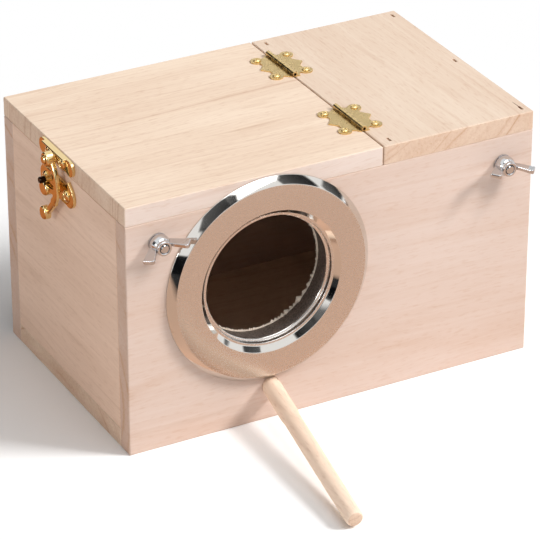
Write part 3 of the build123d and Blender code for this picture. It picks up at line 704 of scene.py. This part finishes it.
class NESTBOX_OT_hinges(bpy.types.Operator):
    """Plate the butterfly hinges and turn their screws"""

    bl_idname = "nestbox.hinges"
    bl_label = "Hinges"

    def execute(self, context):
        metal = context.scene.nestbox_metal
        # Brass-plated stamped steel: pale gold, bright but not a mirror
        look = {"roughness": 0.24, "mottle": 0.25, "scale_mm": 2.0}
        brass = plated_metal("brass_plated_steel", metal.brass, **look)
        # Steel wire, darkened as painted shade for the gaps between the knuckles and the barrel's open
        # ends
        pin = plated_metal("oiled_steel_wire", metal.pin, roughness=0.4, mottle=0.2, scale_mm=1.0)
        for node in NODES:
            if "hinge" in node:
                dress(node, pin if node.endswith("pin") else brass)
        # How far the CAD screws' heads stand out, in mm
        cad_head = 1.1
        for node, body in (("fixed_leaf_screws", "box"), ("lid_leaf_screws", "lid")):
            bm = bmesh.new()
            for number, (low, high) in enumerate(islands(node)):
                centre = (low + high) / 2
                seat = Vector((centre.x, centre.y, high.z - cad_head * MM))
                turn = 0.5 + 1.9 * number
                matrix = place_frame(seat, (0, 0, 1), (math.cos(turn), math.sin(turn), 0))
                screw(bm, matrix, head_radius=1.8, head_height=1.08, length=6.2)
            make_piece(f"domed_{node}", bm, [brass], body, [node])
        return {"FINISHED"}


class NESTBOX_OT_latch(bpy.types.Operator):
    """Cast and plate the horn latch"""

    bl_idname = "nestbox.latch"
    bl_label = "Latch"

    def execute(self, context):
        metal = context.scene.nestbox_metal
        # Gold-plated zinc casting: rounded edges and bright highlights
        look = {"roughness": 0.08, "mottle": 0.3, "scale_mm": 1.5}
        gold = plated_metal("gold_plated_casting", metal.gold, **look)
        for node in ("latch_lid_plate", "latch_body_plate", "latch_hook", "latch_rivet"):
            dress(node, gold)
        dress("latch_peg", part_plated_peg())
        for node, passes in (("latch_lid_plate", 9), ("latch_body_plate", 9), ("latch_hook", 10)):
            cast_round(node, passes)
        # How far the CAD screws' heads stand out, in mm
        cad_head = 1.5
        for node, body in (("latch_lid_screws", "lid"), ("latch_body_screws", "box")):
            bm = bmesh.new()
            for number, (low, high) in enumerate(islands(node)):
                centre = (low + high) / 2
                seat = Vector((low.x + cad_head * MM, centre.y, centre.z))
                turn = 0.9 + 1.3 * number
                matrix = place_frame(seat, (-1, 0, 0), (0, math.cos(turn), math.sin(turn)))
                screw(bm, matrix, head_radius=2.75, head_height=1.46, length=6.0)
            make_piece(f"domed_{node}", bm, [gold], body, [node])
        return {"FINISHED"}


def nut_boss(side, zinc):
    """Add the casting's boss, which reaches along the bolt nearly to its end."""
    axis = middle(f"{side}_bolt")
    base = node_box(f"{side}_wing_nut")[1].y
    reach = (base - node_box(f"{side}_bolt")[0].y) / MM
    outline = [
        (2.1, 0.03), (4.3, 0.03), (4.6, 1.0), (4.6, 0.35 * reach), (3.9, 0.62 * reach),
        (3.3, 0.72 * reach), (3.45, reach - 1.1), (3.45, reach - 0.55), (3.1, reach - 0.2),
        (2.5, reach - 0.2), (2.1, reach - 0.6), (2.1, 0.03),
    ]
    bm = bmesh.new()
    matrix = place_frame(Vector((axis.x, base, axis.z)), (0, -1, 0), (1, 0, 0))
    spin(bm, matrix, eased(outline, radius=0.35)[:-1], segments=72, closed=True)
    make_piece(f"{side}_nut_boss", bm, [zinc], f"{side}_wing_nut")


def bolt_thread(side, zinc, pitch):
    """Wind the thread round a cage bolt, from just behind its end to inside its nut."""
    axis = middle(f"{side}_bolt")
    tip = node_box(f"{side}_bolt")[0].y
    end, start = tip + 0.45 * MM, tip + 7.4 * MM
    helix_radius, ridge_radius = 1.87 * MM, 0.13 * MM
    points_per_turn = 20
    turns = (start - end) / (pitch * MM)
    count = int(turns * points_per_turn)
    curve = bpy.data.curves.new(f"{side}_bolt_thread", "CURVE")
    curve.dimensions = "3D"
    curve.bevel_depth = ridge_radius
    curve.bevel_resolution = 1
    spline = curve.splines.new("POLY")
    spline.points.add(count)
    for k in range(count + 1):
        turn = FULL_TURN * turns * k / count
        x, z = axis.x + helix_radius * math.cos(turn), axis.z + helix_radius * math.sin(turn)
        spline.points[k].co = (x, end + (start - end) * k / count, z, 1.0)
    thread = bpy.data.objects.new(f"{side}_bolt_thread", curve)
    bpy.context.scene.collection.objects.link(thread)
    curve.materials.append(zinc)
    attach(thread, "box")


def split_behind_brad(wood):
    """Split the fixed top a little along its grain, behind the brad in its front right corner."""
    brads = [(low + high) / 2 for low, high in islands("top_brads")]
    brad = max(brads, key=lambda place: place.x - place.y)
    surface = node_box("fixed_top")[1].z
    matrix = place_frame(Vector((brad.x, brad.y, surface)), (0, 0, 1), (0, 1, 0))
    steps, length, half_width, depth, proud = 10, 7.0, 0.16, 0.4, 0.02
    bm = bmesh.new()
    sides = []
    for k in range(steps + 1):
        along, half = length * k / steps, half_width * math.sin(math.pi * k / steps) + 0.02
        points = ((along, -half, proud), (along, half, proud), (along, 0.0, -depth))
        sides.append([bm.verts.new(matrix @ Vector(point)) for point in points])
    for before, after in zip(sides, sides[1:]):
        for k in range(3):
            j = (k + 1) % 3
            bm.faces.new((before[k], before[j], after[j], after[k]))
    bm.faces.new(sides[0])
    bm.faces.new(reversed(sides[-1]))
    # Shadowed wood inside a split: dull brown
    shaded = new_material("split_wood", roughness=0.9, Base_Color=wood.shaded)[0]
    make_piece("split_behind_brad", bm, [shaded], "box")


class NESTBOX_OT_bolts(bpy.types.Operator):
    """Galvanise the cage bolts, washers and wing nuts, cut the threads, and set screws and brads"""

    bl_idname = "nestbox.bolts"
    bl_label = "Cage bolts"

    def execute(self, context):
        metal = context.scene.nestbox_metal
        # Bright zinc plating on castings: pale blue-grey with soft reflections
        look = {"roughness": 0.1, "mottle": 0.35, "scale_mm": 1.2}
        zinc = plated_metal("bright_zinc_plating", metal.zinc, **look)
        for node in NODES:
            if node.endswith(("_bolt", "_washer", "_wing_nut")):
                dress(node, zinc)
        for side in ("left", "right"):
            cast_round(f"{side}_wing_nut", passes=34)
            nut_boss(side, zinc)
            bolt_thread(side, zinc, metal.thread_pitch)
        # The sleeve's screws have their heads on the tube's inside and point outwards
        tube_inside, recess_turn = 30.8, 0.4
        bm = bmesh.new()
        for low, high in islands("sleeve_screws"):
            centre = (low + high) / 2
            inward = Vector((ENTRANCE.x - centre.x, 0, ENTRANCE.z - centre.z)).normalized()
            seat = Vector((ENTRANCE.x, centre.y, ENTRANCE.z)) - inward * tube_inside * MM
            side = (0, math.cos(recess_turn), math.sin(recess_turn))
            matrix = place_frame(seat, inward, side)
            screw(bm, matrix, head_radius=1.8, head_height=1.05, length=5.5)
        make_piece("domed_sleeve_screws", bm, [zinc], "box", ["sleeve_screws"])
        # Bare iron wire brads, dark in their slits
        iron = plated_metal("bare_iron_wire", metal.iron, roughness=0.5, mottle=0.2, scale_mm=0.8)
        dress("top_brads", iron)
        split_behind_brad(context.scene.nestbox_wood)
        return {"FINISHED"}


def studio_lamp(name, direction, distance, size, energy):
    """A softbox in a direction from the box's middle, which it faces. Its size is in metres."""
    light = bpy.data.lights.new(name, "AREA")
    light.shape = "RECTANGLE"
    light.size, light.size_y = size
    light.energy = energy
    lamp = bpy.data.objects.new(name, light)
    box_middle = Vector((0, 0, 0.06))
    lamp.location = box_middle + direction * distance
    lamp.rotation_mode = "QUATERNION"
    lamp.rotation_quaternion = (-direction).to_track_quat("-Z", "Y")
    bpy.context.scene.collection.objects.link(lamp)
    return lamp


# A card's corners in order, as steps along its two sides
CARD_STEPS = ((0, 0), (1, 0), (1, 1), (0, 1))


def card_corners(azimuths, elevations, distance):
    """Corners of an upright card that spans two azimuths and two elevations, seen from the ring."""
    return [ENTRANCE + heading(azimuths[i], elevations[j]) * distance for i, j in CARD_STEPS]


def floor_corners(azimuths, distances):
    """Corners of a card on the floor that spans two azimuths and two distances from the ring."""
    points = [ENTRANCE + heading(azimuths[i], 0) * distances[j] for i, j in CARD_STEPS]
    return [(point.x, point.y, MM) for point in points]


def sheet_corners(across, along, height):
    """Corners of a level sheet that spans two places in x and two in y, at a height."""
    return [(across[i], along[j], height) for i, j in CARD_STEPS]


def studio_card(name, corners, material):
    """A card that only the metal mirrors, as a photographer sets one beside bright hardware."""
    mesh = bpy.data.meshes.new(name)
    mesh.from_pydata(corners, [], [(0, 1, 2, 3)])
    mesh.materials.append(material)
    for loop, place in zip(mesh.uv_layers.new().data, CARD_STEPS):
        loop.uv = place
    card = bpy.data.objects.new(name, mesh)
    bpy.context.scene.collection.objects.link(card)
    card.visible_camera = False
    card.visible_diffuse = False
    card.visible_shadow = False
    card.visible_transmission = False


def faded_card_stock(name, colour, fade, thin=1.0):
    """Card stock that fades out towards its edges. A greater fade gives a harder edge. Thin is the
    cover that is left at its first side."""
    look = {"Base_Color": colour, "Specular_IOR_Level": 0.1}
    material, tree, shader = new_material(name, roughness=0.8, **look)
    place = add_node(tree, "ShaderNodeTexCoord").outputs["UV"]
    place = add_node(tree, "ShaderNodeSeparateXYZ", {0: place})
    inside = []
    for axis in ("X", "Y"):
        near = place.outputs[axis]
        far = add_node(tree, "ShaderNodeMath", {0: 1.0, 1: near}, operation="SUBTRACT")
        inside.append(add_node(tree, "ShaderNodeMath", {0: near, 1: far}, operation="MINIMUM"))
    cover = add_node(tree, "ShaderNodeMath", {0: inside[0], 1: inside[1]}, operation="MINIMUM")
    cover = add_node(tree, "ShaderNodeMath", {0: cover, 1: fade}, operation="MULTIPLY", use_clamp=True)
    slope = add_node(tree, "ShaderNodeMapRange", {0: place.outputs["X"], 3: thin})
    cover = add_node(tree, "ShaderNodeMath", {0: cover, 1: slope}, operation="MULTIPLY")
    tree.links.new(cover.outputs[0], shader.inputs["Alpha"])
    return material


def watched(tree):
    """One where the camera sees a surface, also in a mirror or through glass, and zero for its light."""
    path = add_node(tree, "ShaderNodeLightPath")
    seen = path.outputs["Is Camera Ray"]
    for way in ("Is Glossy Ray", "Is Transmission Ray"):
        seen = add_node(tree, "ShaderNodeMath", {0: seen, 1: path.outputs[way]}, operation="MAXIMUM")
    return seen


def lay_floor(stage):
    """Lay a matt white paper roll, which keeps the box's shadow and is plain white beyond it."""
    half_width = 6.0
    bm = bmesh.new()
    bmesh.ops.create_grid(bm, x_segments=1, y_segments=1, size=half_width)
    mesh = bpy.data.meshes.new("floor")
    bm.to_mesh(mesh)
    bm.free()
    floor = bpy.data.objects.new("floor", mesh)
    # A hair below the box, so that their surfaces don't meet
    floor.location = (0, 0, CAD_LOW.z - 0.02 * MM)
    bpy.context.scene.collection.objects.link(floor)
    look = {"Base_Color": stage.floor, "Specular_IOR_Level": 0.1}
    paper, tree, shader = new_material("matt_white_paper", roughness=0.9, **look)
    # Distances from the box's middle, in metres, over which the paper turns plain white
    fade_start, fade_end = 0.16, 0.34
    place = add_node(tree, "ShaderNodeTexCoord").outputs["Object"]
    away = add_node(tree, "ShaderNodeVectorMath", {0: place}, operation="LENGTH")
    beyond = {0: away, 1: fade_start, 2: fade_end}
    beyond = add_node(tree, "ShaderNodeMapRange", beyond, interpolation_type="SMOOTHSTEP")
    beyond = add_node(tree, "ShaderNodeMath", {0: beyond, 1: watched(tree)}, operation="MULTIPLY")
    white = add_node(tree, "ShaderNodeEmission", {"Color": grey(1.0), "Strength": 1.0})
    mixed = add_node(tree, "ShaderNodeMixShader", {0: beyond, 1: shader, 2: white})
    tree.links.new(mixed.outputs[0], tree.nodes["Material Output"].inputs["Surface"])
    mesh.materials.append(paper)


def set_camera(stage):
    """Set up the camera at the photo's viewing angle."""
    camera_data = bpy.data.cameras.new("camera")
    camera_data.lens = stage.lens
    camera_data.sensor_width = 36.0
    camera_data.clip_start = 0.05
    camera = bpy.data.objects.new("camera", camera_data)
    camera.location = stage.camera
    camera.rotation_mode = "QUATERNION"
    view = Vector(stage.target) - Vector(stage.camera)
    camera.rotation_quaternion = view.to_track_quat("-Z", "Y")
    bpy.context.scene.collection.objects.link(camera)
    bpy.context.scene.camera = camera


def set_cards(stage):
    """Set the cards, cloth and paper that the metal mirrors round the box."""
    # Black card stock gives the polished cuts their dark bands
    black = faded_card_stock("black_card_stock", stage.card, fade=14.0)
    fading = faded_card_stock("fading_card_stock", stage.card, fade=14.0, thin=0.86)
    soft = faded_card_stock("soft_card_stock", stage.card, fade=8.0, thin=0.8)
    # Grey card behind the box on the right, which the hinges mirror
    pale = faded_card_stock("grey_card_stock", grey(0.9), fade=14.0)
    # Brown cloth beside the box on the left, which the latch mirrors
    brown = faded_card_stock("brown_cloth", stage.cloth, fade=70.0)
    # Warm paper in front of the box, which the flat faces of the metal mirror
    look = {"Base_Color": stage.paper, "Specular_IOR_Level": 0.1}
    warm = new_material("warm_paper", roughness=0.9, **look)[0]
    cloth = sheet_corners((-1.4, CAD_LOW.x - 10 * MM), (CAD_LOW.y / 2, 1.4), 1.2 * MM)
    sheet = sheet_corners((-2.0, 2.0), (-2.2, CAD_HIGH.y), CAD_LOW.z + 0.5 * MM)
    # Azimuths and elevations are in degrees, and distances in metres
    cards = {
        "black_card_left": (card_corners((-66, -44), (-5, 11), 1.2), black),
        "black_card_low": (floor_corners((-66, -46), (0.19, 1.5)), black),
        "black_card_upper_left": (card_corners((-46, -3), (28, 58), 1.3), fading),
        "black_card_camera": (card_corners((-44, -8), (3, 33), 1.35), soft),
        "black_card_right": (card_corners((49, 76), (23, 53), 0.9), fading),
        "black_card_far_right": (card_corners((77, 92), (4, 23), 0.9), soft),
        "black_card_side": (card_corners((-118, -84), (4, 38), 0.9), soft),
        "black_card_back": (card_corners((-174, -134), (-4, 40), 1.3), black),
        "grey_card_back": (card_corners((116, 155), (12, 46), 1.3), pale),
        "brown_cloth_left": (cloth, brown),
        "warm_paper_sheet": (sheet, warm),
    }
    for name, (corners, stock) in cards.items():
        studio_card(name, corners, stock)


def light_world(stage):
    """Light the world plainly, and show it white where it is seen."""
    world = bpy.data.worlds.new("studio")
    world.use_nodes = True
    bpy.context.scene.world = world
    tree = world.node_tree
    background = tree.nodes["Background"]
    background.inputs["Color"].default_value = grey(1.0)
    strength = {0: watched(tree), "A": stage.ambient, "B": 1.0}
    strength = add_node(tree, "ShaderNodeMix", strength, data_type="FLOAT")
    tree.links.new(strength.outputs[0], background.inputs["Strength"])


class NESTBOX_OT_stage(bpy.types.Operator):
    """Build the floor, the camera, the lamps, the cards and the world"""

    bl_idname = "nestbox.stage"
    bl_label = "Stage"

    def execute(self, context):
        stage = context.scene.nestbox_stage
        context.scene.view_settings.view_transform = "Standard"
        lay_floor(stage)
        set_camera(stage)
        # Direction, distance and size in metres, and power in watts
        lamps = {
            "overhead_softbox": (heading(20, 68), 6.0, (5.0, 3.2), 145.0),
            "right_softbox": (heading(55, 40), 5.0, (1.3, 1.3), 212.0),
            "left_softbox": (heading(-78, 18.5), 3.6, (0.6, 0.82), 20.5),
        }
        for name, (direction, distance, size, power) in lamps.items():
            lamp = studio_lamp(name, direction, distance, size, power * stage.light_scale)
            # The metal mirrors the black card in front of the right lamp and not the lamp itself
            lamp.visible_glossy = name != "right_softbox"
        set_cards(stage)
        light_world(stage)
        return {"FINISHED"}


class NESTBOX_PT_panel(bpy.types.Panel):
    """Buttons for every group of pieces"""

    bl_label = "Nesting Box"
    bl_idname = "NESTBOX_PT_panel"
    bl_space_type = "VIEW_3D"
    bl_region_type = "UI"
    bl_category = "Nesting Box"

    def draw(self, context):
        for operator in OPERATORS:
            self.layout.operator(operator.bl_idname)


OPERATORS = (
    NESTBOX_OT_boards,
    NESTBOX_OT_perch,
    NESTBOX_OT_ring,
    NESTBOX_OT_splinters,
    NESTBOX_OT_hinges,
    NESTBOX_OT_latch,
    NESTBOX_OT_bolts,
    NESTBOX_OT_stage,
)
GROUPS = {"nestbox_wood": NestBoxWood, "nestbox_metal": NestBoxMetal, "nestbox_stage": NestBoxStage}


def register():
    """Register the classes and the scene's settings."""
    for name, group in GROUPS.items():
        bpy.utils.register_class(group)
        setattr(bpy.types.Scene, name, bpy.props.PointerProperty(type=group))
    for item in (*OPERATORS, NESTBOX_PT_panel):
        bpy.utils.register_class(item)


def unregister():
    """Undo register."""
    for item in reversed((*OPERATORS, NESTBOX_PT_panel)):
        bpy.utils.unregister_class(item)
    for name, group in GROUPS.items():
        delattr(bpy.types.Scene, name)
        bpy.utils.unregister_class(group)


def main():
    """Build every piece in order."""
    register()
    for operator in OPERATORS:
        group, name = operator.bl_idname.split(".")
        getattr(getattr(bpy.ops, group), name)()


if __name__ == "__main__":
    main()
